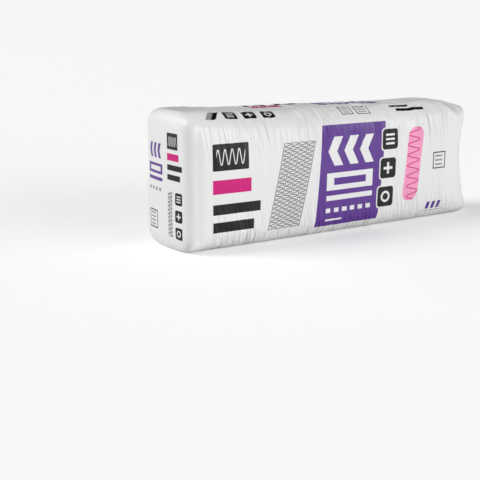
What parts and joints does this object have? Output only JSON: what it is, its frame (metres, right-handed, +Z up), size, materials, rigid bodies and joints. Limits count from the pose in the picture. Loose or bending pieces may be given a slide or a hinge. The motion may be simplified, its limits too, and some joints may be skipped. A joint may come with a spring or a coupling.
{
  "type": "bagged fiberglass batt insulation",
  "caption": "Film bag of folded kraft faced fiberglass batts, compressed and welded shut, lying on its long narrow side.",
  "frame": {"origin": "middle of the bag's box, on the floor that the bag lies on", "axes": "+X along the bag towards its welded end, +Y through its depth, +Z up across the width of the batts"},
  "size_m": [1.2324, 0.3042, 0.4218],
  "materials": {
    "printed_film": "satin white polyethylene film, printed",
    "glass_fiber": "matte glass wool",
    "kraft_paper": "matte kraft paper"
  },
  "bodies": {
    "root": {"film_bag": "printed_film", "fiberglass_batts": "glass_fiber", "kraft_facings": "kraft_paper"}
  },
  "joints": []
}
